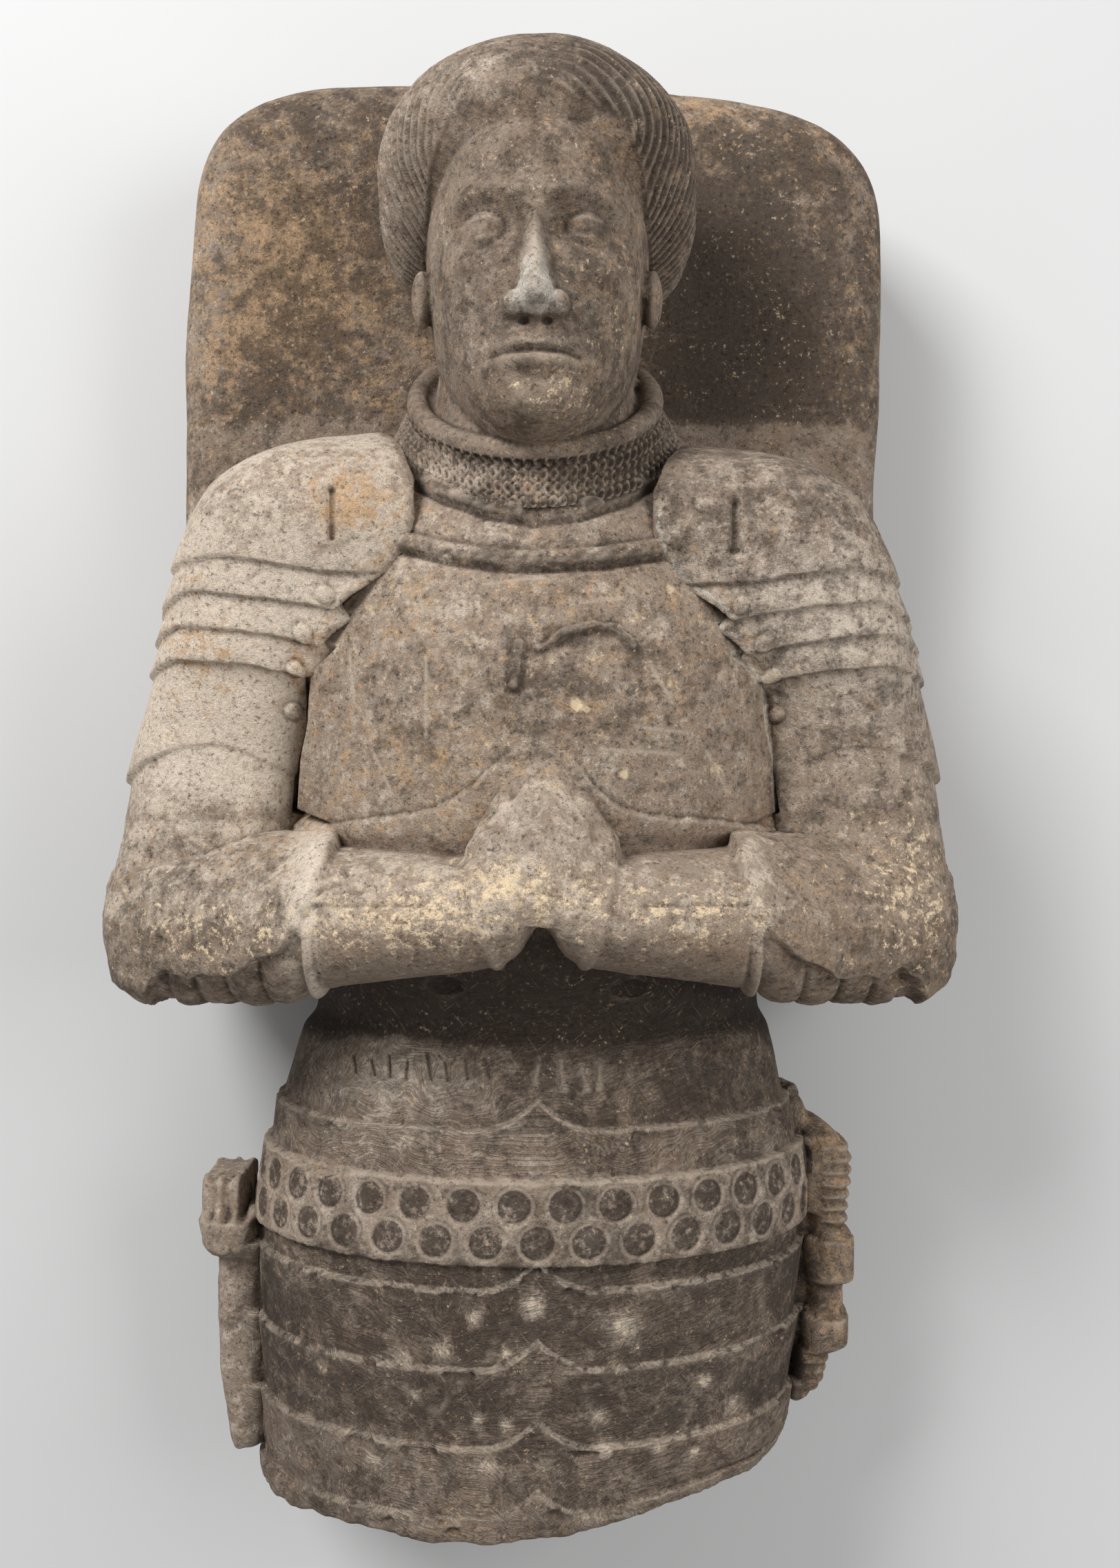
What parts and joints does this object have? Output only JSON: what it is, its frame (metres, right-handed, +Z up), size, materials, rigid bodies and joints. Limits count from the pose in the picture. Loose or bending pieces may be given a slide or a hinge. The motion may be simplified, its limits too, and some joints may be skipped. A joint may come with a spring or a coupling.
{
  "type": "stone knight effigy",
  "caption": "Weathered sandstone effigy of a knight in plate armour, broken off at the thighs, lying on a flat back with the head on a block pillow and the hands broken from prayer.",
  "frame": {"origin": "middle of the whole length and width, on the plane of the flat back", "axes": "+Y runs along the figure towards the head, +X points to the knight's left side, +Z points up and out of the chest"},
  "size_m": [0.569, 0.9782, 0.3591],
  "materials": {
    "sandstone": "rough"
  },
  "bodies": {
    "root": {"knight_effigy": "sandstone"}
  },
  "joints": []
}
